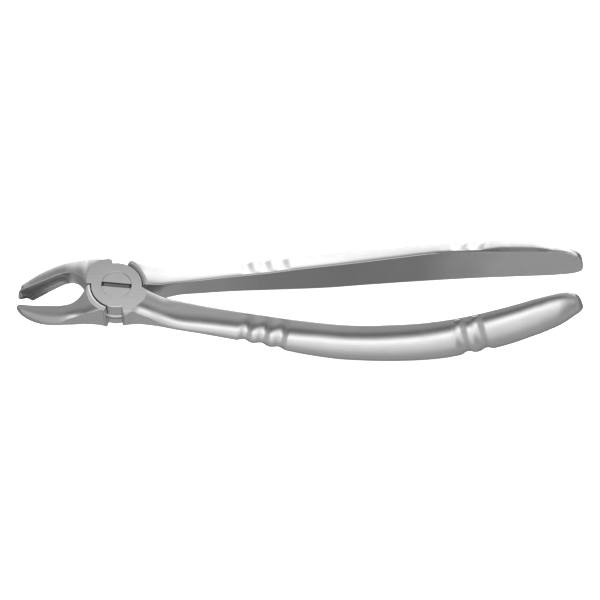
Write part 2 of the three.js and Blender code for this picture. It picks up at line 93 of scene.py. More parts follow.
# Cross-sections: x; height of the front and of the back; distance of the inner face and of the
# outer crown from the middle plane; height of the square edge band; radius of the front and of the
# back inner edge; two exponents of the outer curve; depth of the flute; tilt about Y in degrees.
BEAK = [
    (0, 9.5, -9.5, -0.3, 9.9, 0.3, 0.15, 0.15, 2.5, 0.4, 0, 0),
    (-3.75, 7.3, -7.4, -0.3, 10.26, 0.3, 0.22, 0.22, 2.5, 0.39, 0, 0),
    (-6.15, 6, -5.9, -0.3, 10.2, 0.3, 0.27, 0.27, 2.5, 0.38, 0, 0),
    (-7.95, 5.15, -5.2, -0.3, 10.2, 0.3, 0.3, 0.3, 2.5, 0.37, 0, 0),
    (-8.85, 4.8, -4.85, 0, 10.35, 0.3, 0.36, 0.36, 2.5, 0.39, 0, 0),
    (-9.27, 4.6, -4.6, 1.2, 10.44, 0.3, 0.36, 0.36, 2.5, 0.42, 0, 2),
    (-9.75, 4.35, -4.45, 2.4, 10.32, 0.3, 0.36, 0.36, 2.4, 0.44, 0, 4),
    (-10.5, 3.95, -4.34, 3.67, 10.14, 0.3, 0.34, 0.34, 2.4, 0.45, 0, 6),
    (-11.7, 3.35, -4.36, 4.81, 9.9, 0.3, 0.32, 0.32, 2.3, 0.46, 0.09, 10),
    (-13.5, 2.75, -4.35, 5.56, 9.88, 0.3, 0.28, 0.28, 2.2, 0.48, 0.36, 15),
    (-15.75, 1.85, -4.6, 5.53, 9.72, 0.3, 0.24, 0.24, 2.1, 0.48, 0.9, 21),
    (-18.15, 0.94, -5.49, 5.02, 9.42, 0.3, 0.23, 0.23, 2, 0.5, 1.32, 23),
    (-21.6, -0.35, -7.07, 4.09, 8.58, 0.3, 0.23, 0.23, 2, 0.5, 1.38, 25),
    (-24.75, -1.47, -8.72, 3.16, 7.11, 0.3, 0.22, 0.22, 2, 0.5, 1.26, 27),
    (-27.09, -2.23, -9.58, 2.4, 5.7, 0.3, 0.2, 0.2, 2, 0.5, 1.08, 30),
]
TIP_ROUND = [
    (-27.69, -2.74, -9.79, 2.25, 5.13, 0.3, 0.2, 0.2, 2, 0.5, 0.9, 30),
    (-28.41, -3.58, -9.74, 2.13, 4.47, 0.3, 0.18, 0.18, 2, 0.5, 0.66, 30),
    (-28.89, -4.53, -9.33, 2.1, 3.84, 0.3, 0.15, 0.15, 2, 0.5, 0.42, 30),
    (-29.19, -5.74, -8.48, 2.19, 3.27, 0.3, 0.14, 0.14, 2, 0.5, 0.18, 30),
    (-29.25, -6.65, -7.65, 2.28, 2.98, 0.25, 0.12, 0.12, 2, 0.5, 0.05, 30),
]
TIP_POINT = [
    (-27.27, -2.68, -9.31, 2.37, 5.58, 0.3, 0.2, 0.2, 2, 0.5, 1.02, 30),
    (-27.48, -4.3, -7.99, 2.31, 5.4, 0.3, 0.2, 0.2, 2, 0.5, 0.66, 30),
    (-28.11, -5.39, -7.62, 2.19, 5.4, 0.3, 0.19, 0.19, 2, 0.5, 0.36, 30),
    (-28.95, -6.25, -7.73, 2.07, 5.15, 0.3, 0.15, 0.15, 2, 0.5, 0.18, 30),
    (-29.46, -6.81, -7.7, 2.04, 4.75, 0.24, 0.12, 0.12, 2, 0.5, 0.06, 30),
]
# The roots of the two handles, front half and back half, then what they share.
ROOT_FRONT = [
    (0, 9.13, -9.11, -0.35, 9.84, 0.3, 0.3, 0.3, 2.5, 0.4, 0, 0),
    (3.75, 8.0, -7.5, -0.26, 9.84, 0.3, 0.5, 0.47, 2.5, 0.4, 0, 0),
    (6.45, 5.9, -6.48, 0.2, 9.84, 0.3, 0.7, 0.6, 2.4, 0.42, 0, 0),
    (7.95, 5.15, -6.18, 0.8, 9.9, 0.3, 0.8, 0.6, 2.4, 0.42, 0, 0),
    (10.05, 4.34, -5.93, 1.6, 10.23, 0.3, 0.9, 0.6, 2.3, 0.44, 0, 0),
    (13.05, 2.98, -6.32, 2.25, 10.33, 0.3, 0.9, 0.6, 2.2, 0.47, 0, 0),
    (16.05, 1.47, -6.44, 2.67, 10.79, 0.36, 0.85, 0.6, 2.1, 0.5, 0, 0),
    (19.05, 0.83, -6.66, 3.05, 11.22, 0.45, 0.65, 0.55, 2, 0.52, 0, 0),
]
ROOT_BACK = [
    (0, 9.13, -9.11, -0.35, 9.84, 0.3, 0.3, 0.3, 2.5, 0.4, 0, 0),
    (3.75, 8.3, -7.5, -0.3, 9.84, 0.3, 0.4, 0.47, 2.5, 0.4, 0, 0),
    (6.45, 6.25, -6.48, -0.25, 9.4, 0.3, 0.45, 0.6, 2.4, 0.42, 0, 0),
    (7.95, 5.25, -6.3, 0.05, 9.3, 0.3, 0.45, 0.6, 2.4, 0.42, 0, 0),
    (10.05, 4.62, -6.0, 0.4, 9.5, 0.3, 0.5, 0.6, 2.3, 0.44, 0, 0),
    (13.05, 3.6, -5.8, 0.8, 9.9, 0.3, 0.5, 0.6, 2.2, 0.47, 0, 0),
    (16.05, 2.6, -5.9, 1.75, 10.5, 0.36, 0.5, 0.6, 2.1, 0.5, 0, 0),
    (19.05, 1.5, -6.3, 2.7, 11.05, 0.45, 0.5, 0.55, 2, 0.52, 0, 0),
]
HANDLE = [
    (25.05, 0.37, -7.72, 4.32, 11.98, 0.48, 0.55, 0.5, 2, 0.52, 0, 0),
    (31.05, 0.03, -8.63, 5.34, 12.63, 0.51, 0.5, 0.5, 2, 0.52, 0, 0),
    (37.05, -0.26, -9.53, 6.24, 13.38, 0.51, 0.51, 0.51, 2, 0.52, 0, 0),
    (43.05, -0.61, -10.62, 7.05, 14.09, 0.54, 0.51, 0.51, 2, 0.53, 0, 0),
    (49.05, -0.82, -11.85, 8.01, 15.13, 0.54, 0.52, 0.52, 2, 0.53, 0, 0),
    (55.05, -0.79, -13.12, 8.97, 16.26, 0.57, 0.55, 0.54, 2, 0.54, 0, 0),
    (61.05, -0.77, -13.97, 9.72, 17.06, 0.57, 0.58, 0.55, 2, 0.54, 0, 0),
    (67.05, -0.63, -14.5, 10.42, 17.79, 0.6, 0.63, 0.57, 2, 0.54, 0, 0),
    (73.05, -0.17, -14.34, 10.93, 18.19, 0.6, 0.68, 0.6, 2, 0.54, 0, 0),
    (79.05, 0.7, -14.21, 11.3, 18.45, 0.6, 0.75, 0.63, 2, 0.55, 0, 0),
    (85.05, 1.75, -13.78, 11.54, 18.55, 0.6, 0.82, 0.66, 2, 0.55, 0, 0),
    (91.05, 2.97, -13.38, 11.73, 18.42, 0.6, 0.91, 0.69, 2, 0.55, 0, 0),
    (97.05, 4.46, -12.72, 11.77, 18.22, 0.6, 1, 0.72, 2, 0.55, 0, 0),
    (103.05, 5.83, -11.51, 11.44, 17.55, 0.6, 1.09, 0.75, 2, 0.55, 0, 0),
    (109.05, 7.85, -10.3, 11.09, 16.88, 0.6, 1.18, 0.78, 2, 0.55, 0, 0),
    (115.05, 9.81, -8.9, 10.52, 16.09, 0.6, 1.19, 0.79, 2, 0.55, 0, 0),
    (121.05, 11.44, -6.81, 9.56, 14.82, 0.6, 1.2, 0.8, 2, 0.55, 0, 0),
    (127.05, 12.88, -4.47, 8.42, 13.61, 0.6, 1.13, 0.8, 2, 0.55, 0, 1),
    (130.05, 13.0, -3.3, 7.87, 13.07, 0.6, 1.1, 0.8, 2, 0.55, 0, 2),
]
# The two handle ends, front half and back half.
END_FRONT = [
    (133.05, 12.95, -1.7, 7.26, 12.35, 0.6, 1, 0.75, 2, 0.54, 0, 5),
    (135.4, 12.6, -0.15, 6.74, 11.4, 0.6, 0.92, 0.71, 2, 0.53, 0, 7),
    (137.2, 11.68, 1.42, 6.36, 10.5, 0.6, 0.8, 0.65, 2, 0.52, 0, 10),
    (138.18, 10.9, 2.13, 6.24, 9.85, 0.6, 0.7, 0.6, 2, 0.5, 0, 10.5),
    (138.95, 9.9, 2.83, 6.24, 9.1, 0.6, 0.55, 0.5, 2, 0.5, 0, 11.5),
    (139.4, 8.5, 3.47, 6.4, 8.5, 0.6, 0.45, 0.4, 2, 0.5, 0, 11.6),
    (139.65, 7.0, 4.08, 6.7, 8.1, 0.5, 0.3, 0.3, 2, 0.5, 0, 11.6),
]
END_BACK = [
    (132.3, 12.98, -2.1, 7.4, 12.65, 0.6, 1, 0.75, 2, 0.54, 0, 4),
    (132.9, 12.95, -1.8, 7.3, 12.45, 0.6, 1, 0.75, 2, 0.54, 0, 4.5),
    (135.4, 12.7, -0.4, 6.74, 11.1, 0.6, 0.92, 0.71, 2, 0.53, 0, 6),
    (137.2, 12.1, 0.9, 6.36, 10.25, 0.6, 0.8, 0.65, 2, 0.52, 0, 7),
    (138.3, 11.4, 1.8, 6.24, 9.8, 0.6, 0.7, 0.6, 2, 0.5, 0, 8),
    (139.05, 10.6, 2.5, 6.22, 9.4, 0.6, 0.6, 0.5, 2, 0.5, 0, 8),
    (139.5, 9.6, 3.3, 6.4, 9.0, 0.6, 0.5, 0.4, 2, 0.5, 0, 8),
    (139.75, 8.2, 4.3, 6.8, 8.5, 0.5, 0.3, 0.3, 2, 0.5, 0, 8),
]
# Changes to the shared rows, against x. FULLER_BEAK and FULLER move the outer crown; FRONT_EDGE
# moves the front of the front half's handle, BACK_EDGE and BACK_TOP the back and the front of the
# back half's.
FULLER_BEAK = {
    1: ([-29.4, -26, -24, -21.7, -19.3, -17, -14.5, -12.1, -11, -9.7, -8.6, -7.3, -5.5, -3.7, 0], [0, 0.2, 0.42, 0.45, 0.5, 0.64, 0.72, 0.85, 0.72, 0.5, 0.45, 0.65, 0.72, 0.3, 0]),
    -1: ([-29.2, -27.7, -25, -21.7, -19.3, -17, -14.5, -12.1, -9.7, -7.3, 0], [-0.4, -0.2, 0, 0.12, 0.2, 0.3, 0.34, 0.34, 0.34, 0.3, 0]),
}
FULLER = {
    1: ([19, 25, 49, 61, 73, 82, 91, 100, 106, 115, 121, 127, 131.5, 134.5, 137], [-0.15, -0.3, 0.1, -0.05, 0, 0.3, 0.58, 0.88, 0.9, 1.2, 1.45, 1.4, 0.85, 0.4, 0]),
    -1: ([0, 6, 7.95, 10.05, 13.05, 16.05, 19.05, 25.05, 31.05, 37.05, 43.05, 49.05, 55.05, 61.05, 67.05, 73.05, 79.05, 85.05, 91.05, 97.05, 103.05, 109.05, 115.05, 121.05, 127.05, 130.05, 132.3, 132.9, 135.4, 137.2, 138.3, 139.8], [0, 0, 0.05, -0.26, -0.44, -0.63, -0.55, -0.14, -0.14, -0.2, 0.15, 0.12, -0.11, -0.03, -0.03, 0.02, -0.09, -0.13, 0.02, 0.1, 0.89, 1.14, 1.49, 1.42, 1.2, 0.64, 0.12, 0.02, 0.08, 0.09, 0.09, 0]),
}
FRONT_EDGE = ([60, 73, 82, 91, 127, 133], [0, -0.3, -0.45, -0.78, -0.78, -0.2])
BACK_EDGE = ([19, 25, 132], [0, -0.5, -0.5])
BACK_TOP = ([19, 25, 79, 91, 97, 100, 103, 106, 109, 112, 115, 118, 121, 124, 127, 129, 131.5, 134, 136.5, 140], [-0.1, -0.5, -0.65, -0.66, -0.8, -1.05, -1.42, -1.88, -2.38, -2.83, -3.1, -3.17, -3.07, -2.88, -2.58, -2.3, -1.8, -1.1, -0.4, 0])
# The radius of the front inner edge of the front and of the back half's handle, and how many times
# wider than high the back half's is.
EDGE = {
    1: ([0, 3.75, 6.45, 10.05, 13.05, 16.05, 19.05, 25, 60, 100, 136, 139.65], [0.3, 0.5, 0.7, 0.9, 0.9, 0.85, 0.65, 0.45, 0.35, 0.35, 0.4, 0.3]),
    -1: ([0, 3.75, 6.45, 16.05, 25, 60, 88, 97, 103, 109, 112, 115, 121, 127, 131, 139.65], [0.3, 0.4, 0.5, 0.5, 0.34, 0.3, 0.24, 0.17, 0.18, 0.3, 0.5, 0.67, 0.62, 0.52, 0.4, 0.3]),
}
BEVEL = ([0, 88, 98, 129, 133, 140], [1, 1, 2.1, 2.1, 1.2, 1])
# How much keener the outer curves of the handles meet their fronts and backs.
KEEN = {
    1: ([0, 50, 90, 118, 130, 136, 140], [0, 0, 0.03, 0.08, 0.15, 0.1, 0]),
    -1: ([0, 8, 14, 60, 97, 130, 136, 140], [0, 0.04, 0.1, 0.1, 0.09, 0.06, 0.02, 0]),
}
X, TOP, BOT, YI, YO, BAND, RF, RB, N1, M1, FLUTE, TILT = range(12)
# The fourth kind is painted shade: a darker steel colour painted on the walls of the gap and in the screw's slot, where
# shade falls.
SATIN, GROUND, FLUTED, PAINTED_SHADE, INNER = 0, 1, 2, 3, 4


# ---- section curves ----------------------------------------------------------------------------
def pchip(s, v, q):
    """Shape-preserving cubic through v at s, read at q."""
    h = np.diff(s)[:, None]
    d = np.diff(v, axis=0) / h
    m = np.zeros_like(v)
    m[0], m[-1] = d[0], d[-1]
    w0 = 2 * h[1:] + h[:-1]
    w1 = h[1:] + 2 * h[:-1]
    same = d[:-1] * d[1:] > 0
    with np.errstate(divide="ignore", invalid="ignore"):
        mid = (w0 + w1) / (w0 / d[:-1] + w1 / d[1:])
    m[1:-1] = np.where(same, mid, 0)
    i = np.clip(np.searchsorted(s, q, side="right") - 1, 0, len(s) - 2)
    u = ((q - s[i]) / (s[i + 1] - s[i]))[:, None]
    hh = (s[i + 1] - s[i])[:, None]
    return (
        (1 + 2 * u) * (1 - u) ** 2 * v[i]
        + u * (1 - u) ** 2 * hh * m[i]
        + u * u * (3 - 2 * u) * v[i + 1]
        + u * u * (u - 1) * hh * m[i + 1]
    )


def curve(rows, soften, spacing, fine=0.05):
    """Rows of sections, finely spaced and softened along the length of the piece.
    soften(x) is how far a section is averaged with its neighbours, spacing(x) how far apart they are."""
    v = np.array(rows, float)
    step = np.sqrt(np.sum(np.diff(v[:, [X, YI, TOP]], axis=0) ** 2, axis=1))
    s = np.concatenate([[0], np.cumsum(step)])
    g = np.linspace(0, s[-1], int(s[-1] / fine) + 1)
    d = pchip(s, v, g)
    sig = np.array([soften(x) for x in d[:, X]])
    # no section is averaged past an end, so the ends stay where they are
    sig = np.maximum(np.minimum(sig, np.minimum(g, g[-1] - g) / 2.2), 1e-3)
    out = np.empty_like(d)
    for i in range(len(g)):
        lo, hi = np.searchsorted(g, [g[i] - 3 * sig[i], g[i] + 3 * sig[i]])
        hi = max(hi, lo + 1)
        w = np.exp(-0.5 * ((g[lo:hi] - g[i]) / sig[i]) ** 2)
        out[i] = (w[:, None] * d[lo:hi]).sum(0) / w.sum()
    pace = np.array([1 / spacing(x) for x in out[:, X]])
    t = np.concatenate([[0], np.cumsum((pace[1:] + pace[:-1]) / 2 * np.diff(g))])
    n = int(t[-1]) + 2
    pick = np.interp(np.linspace(0, t[-1], n), t, g)
    return np.stack([np.interp(pick, g, out[:, c]) for c in range(out.shape[1])], axis=1)


def sections(rows, side, inner, outer, arc, teeth=0.0, grooves=(), wide=None):
    """Points of every section, going round from the front inner edge. The front inner edge's rounding is
    `wide` times as long across the instrument as it is high, and nears a bevel as that grows."""
    xc, top, bot, yi, yo, band, rf, rb, n1, m1, flute, tilt = (rows[:, [c]] for c in range(12))
    a = (top - bot) / 2
    zc = (top + bot) / 2
    depth = yo - yi
    lim = np.minimum(a * 0.45, depth * 0.3)
    rf, rb = np.minimum(rf, lim), np.minimum(rb, lim)
    u = np.linspace(0, 1, inner + 1)[None, :]
    wi = (a - rf) + u * (rf + rb - 2 * a)
    uu = 2 * u - 1
    hi = flute * (1 - uu * uu)
    if teeth:
        # serrations run lengthwise in the flute and fade out at its edges and towards the joint
        pitch = 0.72
        k = np.clip((-14.6 - xc) / 1.4, 0, 1)
        near = np.clip((1 - np.abs(uu)) / 0.12, 0, 1)
        tri = np.abs(((wi / pitch + 0.25) % 1) - 0.5) * 2
        hi = hi - teeth * k * near * (tri - 0.5) * np.clip((a - 1.2) / 1.0, 0, 1)
    f = np.linspace(0, math.pi / 2, arc + 1)[None, 1:]
    w1 = -(a - rb) - rb * np.sin(f)
    h1 = rb - rb * np.cos(f)
    t = np.linspace(0, math.pi, outer + 1)[None, :]
    c = np.cos(t)
    # the square band differs in height where the two edge radii do
    rk = rf if wide is None else rf * wide[:, None]
    e = np.maximum(band, 0.5 * (rk + rb) + 0.5 * (rk - rb) * -c)
    wo = -np.sign(c) * a * np.abs(c) ** (2 / n1)
    ho = e + (depth - e) * np.maximum(1 - c * c, 0) ** m1
    k = np.ones_like(rf) if wide is None else wide[:, None]
    q = 2 / np.interp(k, [1, 2], [2, 1.12])
    w2 = ((a - rf) + rf * np.sin(f) ** q)[:, ::-1]
    h2 = (k * rf * (1 - np.cos(f) ** q))[:, ::-1]
    w = np.concatenate([wi, w1, wo, w2[:, :-1]], axis=1)
    h = np.concatenate([hi, h1, ho, h2[:, :-1]], axis=1)
    lift = np.concatenate(
        [np.zeros_like(wi), np.zeros_like(w1), np.repeat(np.sin(t), len(rows), 0), np.zeros_like(w2[:, :-1])], axis=1
    )
    sn, cs = np.sin(np.radians(tilt)), np.cos(np.radians(tilt))
    p = np.stack([xc - w * sn, side * (yi + h), zc + w * cs], axis=2)
    if len(grooves):
        # each groove lies square to the handle's own line and is deepest on the crown
        mid = np.stack([rows[:, X], side * (rows[:, YI] + rows[:, YO]) / 2, zc[:, 0]], axis=1)
        tan = np.gradient(mid, axis=0)
        tan /= np.linalg.norm(tan, axis=1)[:, None]
        core = np.stack([xc + 0 * w, side * (yi + 0.15 * depth) + 0 * w, zc + 0 * w], axis=2)
        for at, deep, wide in grooves:
            c0 = np.array([np.interp(at, mid[:, 0], mid[:, k]) for k in range(3)])
            t0 = np.array([np.interp(at, mid[:, 0], tan[:, k]) for k in range(3)])
            t0 /= np.linalg.norm(t0)
            q = (p - c0) @ t0
            g = np.where(np.abs(q) < wide, 0.5 * (1 + np.cos(np.pi * np.clip(q / wide, -1, 1))), 0) * deep * lift**0.62
            away = p - core
            away -= (away @ t0)[..., None] * t0
            away /= np.maximum(np.linalg.norm(away, axis=2), 1e-6)[..., None]
            p = p - away * g[..., None]
    return p


# ---- solids ------------------------------------------------------------------------------------
# A solid is its points, its triangles, a normal for each corner of each, and each one's finish.
class Solid:
    def __init__(self, v, t, n, kind):
        self.v, self.t, self.n = np.asarray(v, float), np.asarray(t), np.asarray(n, float)
        self.kind = np.full(len(self.t), kind) if np.isscalar(kind) else np.asarray(kind)


def face_normals(v, t):
    n = np.cross(v[t[:, 1]] - v[t[:, 0]], v[t[:, 2]] - v[t[:, 0]])
    return n / np.maximum(np.linalg.norm(n, axis=1), 1e-12)[:, None]


def skin(p, flip, inner, finish):
    """Closed skin through rows of points, capped at both ends, smooth all over."""
    n, k, _ = p.shape
    du = np.gradient(p, axis=0)
    dv = np.roll(p, -1, axis=1) - np.roll(p, 1, axis=1)
    nm = np.cross(dv, -du)
    if flip:
        nm = -nm
    nm /= np.maximum(np.linalg.norm(nm, axis=2), 1e-12)[..., None]
    verts = p.reshape(-1, 3)
    nv = nm.reshape(-1, 3)
    i, j = np.meshgrid(np.arange(n - 1), np.arange(k), indexing="ij")
    a = (i * k + j).ravel()
    b = (i * k + (j + 1) % k).ravel()
    tris = np.concatenate([np.stack([a, b, b + k], 1), np.stack([a, b + k, a + k], 1)])
    kind = np.where(np.tile((j < inner).ravel(), 2), finish, SATIN)
    r = np.arange(k)
    rn = (r + 1) % k
    c0, c1 = len(verts), len(verts) + 1
    caps = np.concatenate(
        [np.stack([np.full(k, c0), rn, r], 1), np.stack([np.full(k, c1), (n - 1) * k + r, (n - 1) * k + rn], 1)]
    )
    verts = np.concatenate([verts, p[0].mean(0)[None], p[-1].mean(0)[None]])
    nv = np.concatenate([nv, np.zeros((2, 3))])
    if flip:
        tris, caps = tris[:, ::-1], caps[:, ::-1]
    fn = face_normals(verts, tris)
    cn = nv[tris]
    # corners whose smooth normal is off by a right angle or more take their triangle's own
    bad = np.einsum("ijk,ik->ij", cn, fn) < 0.05
    cn[bad] = np.repeat(fn[:, None], 3, 1)[bad]
    cap_n = np.repeat(face_normals(verts, caps)[:, None], 3, 1)
    return Solid(
        verts, np.concatenate([tris, caps]), np.concatenate([cn, cap_n]), np.concatenate([kind, np.full(len(caps), SATIN)])
    )


def turned(profile, n, kind=GROUND):
    """Solid turned about Z from (r, z) points that start and end on the axis, going up."""
    prof = np.array(profile, float)
    if prof[-1, 1] < prof[0, 1]:
        prof = prof[::-1]
    ang = np.linspace(0, 2 * np.pi, n, endpoint=False)
    rings = prof[1:-1]
    v = np.stack(
        [np.outer(rings[:, 0], np.cos(ang)), np.outer(rings[:, 0], np.sin(ang)), np.outer(rings[:, 1], np.ones(n))], axis=2
    ).reshape(-1, 3)
    m = len(rings)
    tris, norms = [], []
    r = np.arange(n)
    rn = (r + 1) % n
    rad = np.stack([np.cos(ang), np.sin(ang), np.zeros(n)], 1)
    for k in range(m - 1):
        dr, dz = rings[k + 1] - rings[k]
        ln = math.hypot(dr, dz)
        nr, nz = dz / ln, -dr / ln
        vn = rad * nr + np.array([0, 0, nz])
        a, b = k * n + r, k * n + rn
        tris += [np.stack([a, b, b + n], 1), np.stack([a, b + n, a + n], 1)]
        norms += [np.stack([vn[r], vn[rn], vn[rn]], 1), np.stack([vn[r], vn[rn], vn[r]], 1)]
    c0, c1 = len(v), len(v) + 1
    verts = np.concatenate([v, [[0, 0, prof[0, 1]], [0, 0, prof[-1, 1]]]])
    tris.append(np.stack([np.full(n, c0), rn, r], 1))
    norms.append(np.tile([0, 0, -1.0], (n, 3, 1)))
    tris.append(np.stack([np.full(n, c1), (m - 1) * n + r, (m - 1) * n + rn], 1))
    norms.append(np.tile([0, 0, 1.0], (n, 3, 1)))
    return Solid(verts, np.concatenate(tris), np.concatenate(norms), kind)


def prism(outline, z0, z1, kind=GROUND):
    """Solid with a simple outline between two heights. Bends of under 35 degrees in it are smooth."""
    o = np.array(outline, float)
    if np.sum(o[:, 0] * np.roll(o[:, 1], -1) - np.roll(o[:, 0], -1) * o[:, 1]) < 0:
        o = o[::-1]
    n = len(o)
    cap = np.array(tessellate_polygon([[(x, y, 0) for x, y in o]]))
    t = o[cap]
    s = (t[:, 1, 0] - t[:, 0, 0]) * (t[:, 2, 1] - t[:, 0, 1]) - (t[:, 1, 1] - t[:, 0, 1]) * (t[:, 2, 0] - t[:, 0, 0])
    cap = np.where(s[:, None] > 0, cap, cap[:, ::-1])
    verts = np.concatenate([np.c_[o, np.full(n, z0)], np.c_[o, np.full(n, z1)]])
    d = np.roll(o, -1, axis=0) - o
    en = np.c_[d[:, 1], -d[:, 0], np.zeros(n)]
    en /= np.linalg.norm(en, axis=1)[:, None]
    prev = np.roll(en, 1, axis=0)
    soft = np.sum(en * prev, axis=1) > math.cos(math.radians(35))
    both = en + prev
    both /= np.maximum(np.linalg.norm(both, axis=1), 1e-9)[:, None]
    start = np.where(soft[:, None], both, en)
    end = np.where(np.roll(soft, -1)[:, None], np.roll(both, -1, axis=0), en)
    r = np.arange(n)
    rn = (r + 1) % n
    tris = np.concatenate([cap[:, ::-1], cap + n, np.stack([r, rn, rn + n], 1), np.stack([r, rn + n, r + n], 1)])
    norms = np.concatenate(
        [
            np.tile([0, 0, -1.0], (len(cap), 3, 1)),
            np.tile([0, 0, 1.0], (len(cap), 3, 1)),
            np.stack([start, end, end], 1),
            np.stack([start, end, start], 1),
        ]
    )
    return Solid(verts, tris, norms, kind)


def bar(outline, length, angle, kind=GROUND):
    """Prism laid on its side: the outline is (across, up), and it runs along X turned by the angle."""
    s = prism(outline, -length, length, kind)

    def lay(q):
        return np.stack([q[..., 2], q[..., 0], q[..., 1]], axis=-1)

    v, n = lay(s.v), lay(s.n)
    c, sn = math.cos(angle), math.sin(angle)
    rot = np.array([[c, -sn, 0], [sn, c, 0], [0, 0, 1]])
    return Solid(v @ rot.T, s.t, n @ rot.T, s.kind)


def disc(r, z0, z1, n=240):
    return turned([(0, z0), (r, z0), (r, z1), (0, z1)], n)


def weld(v, t, tol):
    key = np.round(v / tol).astype(np.int64)
    _, first, inv = np.unique(key, axis=0, return_index=True, return_inverse=True)
    t = inv.ravel()[t]
    ok = (t[:, 0] != t[:, 1]) & (t[:, 1] != t[:, 2]) & (t[:, 0] != t[:, 2])
    return v[first], t[ok], ok


def tri_mesh(name, v, t):
    me = bpy.data.meshes.new(name)
    me.vertices.add(len(v))
    me.vertices.foreach_set("co", np.ascontiguousarray(v, dtype=np.float32).ravel())
    me.loops.add(3 * len(t))
    me.loops.foreach_set("vertex_index", np.ascontiguousarray(t, dtype=np.int32).ravel())
    me.polygons.add(len(t))
    me.polygons.foreach_set("loop_start", np.arange(0, 3 * len(t), 3, dtype=np.int32))
    me.update(calc_edges=True)
    return me


def thing(name, me):
    o = bpy.data.objects.new(name, me)
    bpy.context.scene.collection.objects.link(o)
    return o


def carrier(name, s, inverted=False):
    v, t, ok = weld(s.v, s.t, 1e-4)
    me = tri_mesh(name, v, t)
    at = me.attributes.new("nrm", "FLOAT_VECTOR", "CORNER")
    n = s.n[ok] * (-1 if inverted else 1)
    at.data.foreach_set("vector", np.ascontiguousarray(n, dtype=np.float32).ravel())
    at = me.attributes.new("kind", "INT", "FACE")
    at.data.foreach_set("value", np.ascontiguousarray(s.kind[ok], dtype=np.int32))
    return thing(name, me)


def cut(base, steps, name):
    """Runs boolean steps, each ("DIFFERENCE" or "UNION" or "INTERSECT", solid), on a solid."""
    obj = carrier(name + "_work", base)
    tools = []
    for k, (op, solid) in enumerate(steps):
        tool = carrier(f"{name}_tool{k}", solid, inverted=op == "DIFFERENCE")
        mod = obj.modifiers.new(f"step{k}", "BOOLEAN")
        mod.operation = op
        mod.solver = "MANIFOLD"
        mod.object = tool
        tools.append(tool)
    bpy.context.view_layer.update()
    me = bpy.data.meshes.new_from_object(obj.evaluated_get(bpy.context.evaluated_depsgraph_get()))
    for o in [obj, *tools]:
        old = o.data
        bpy.data.objects.remove(o)
        bpy.data.meshes.remove(old)
    me.calc_loop_triangles()
    nt, nl = len(me.loop_triangles), len(me.loops)
    if not nt:
        raise RuntimeError(f"{name}: nothing is left after the cuts")
    v = np.empty(len(me.vertices) * 3, np.float32)
    me.vertices.foreach_get("co", v)
    t = np.empty(nt * 3, np.int32)
    me.loop_triangles.foreach_get("vertices", t)
    lt = np.empty(nt * 3, np.int32)
    me.loop_triangles.foreach_get("loops", lt)
    pt = np.empty(nt, np.int32)
    me.loop_triangles.foreach_get("polygon_index", pt)
    n = np.empty(nl * 3, np.float32)
    me.attributes["nrm"].data.foreach_get("vector", n)
    kd = np.empty(len(me.polygons), np.int32)
    me.attributes["kind"].data.foreach_get("value", kd)
    bpy.data.meshes.remove(me)
    return Solid(v.reshape(-1, 3), t.reshape(-1, 3), n.reshape(-1, 3)[lt].reshape(-1, 3, 3), kd[pt])


# ---- the two halves ----------------------------------------------------------------------------
def polar(deg, r):
    return np.array([r * math.cos(math.radians(deg)), r * math.sin(math.radians(deg))])


def rounded(path, at, radius, n=10):
    """Replaces corner number `at` of a path by an arc."""
    p, a, b = path[at], path[at - 1], path[at + 1]
    u = (a - p) / np.linalg.norm(a - p)
    w = (b - p) / np.linalg.norm(b - p)
    half_angle = math.acos(float(np.clip(u @ w, -1, 1))) / 2
    back = radius / math.tan(half_angle)
    mid = p + (u + w) / np.linalg.norm(u + w) * radius / math.sin(half_angle)
    s, e = p + u * back - mid, p + w * back - mid
    a0 = math.atan2(s[1], s[0])
    a1 = math.atan2(e[1], e[0])
    while a1 - a0 > math.pi:
        a1 -= 2 * math.pi
    while a1 - a0 < -math.pi:
        a1 += 2 * math.pi
    arc = [mid + radius * np.array([math.cos(q), math.sin(q)]) for q in np.linspace(a0, a1, n)]
    # points of the path that the arc has gone past are dropped
    rest = [e for e in path[at + 1 :] if (e - p) @ w > back + 0.05]
    return path[:at] + arc + rest


def notch_and_flat(flat, side, notch):
    """Everything past the notch wall of a sector, and outside the ground flat beyond it."""
    d = math.copysign(1, flat["x"])
    edge = []
    for r in np.concatenate([np.linspace(0.0, 6.0, 31), [40.0]]):
        y = flat["y"] + flat["slope"] * r + flat["flare"] * math.exp(-((r / flat["reach"]) ** 2)) + 0.5 * max(0, r - flat["open"])
        edge.append(np.array([flat["x"] + d * r, side * y]))
    # the notch wall leaves the axis at its own angle and meets the flat at the corner
    wall = polar(notch, 1.0)
    meet = wall * (abs(edge[0][1]) / abs(wall[1]))
    keep = [e for e in edge if d * (e[0] - meet[0]) > 0.3]
    path = rounded([np.array([0.0, 0.0]), meet] + keep, 1, flat["corner"])
    path += [np.array([path[-1][0], side * 60]), np.array([-d * 40, side * 60]), np.array([-d * 40, 0.0])]
    s = prism(path, -40, 40)
    if flat["lean"]:
        s.v[:, 0] += flat["lean"] * (s.v[:, 2] + 2)
        s.n[..., 2] -= flat["lean"] * s.n[..., 0]
        s.n /= np.linalg.norm(s.n, axis=2)[..., None]
    return s


def inner_limit(side, angle):
    """Everything near the joint on the far side of the line where a sector faces the middle."""
    p = polar(angle, 13.0)
    away = polar(angle - side * math.copysign(1, math.cos(math.radians(angle))) * 75, 13.0)
    return prism([(0, 0), p, p + away * 0.6, away], -40, 40)


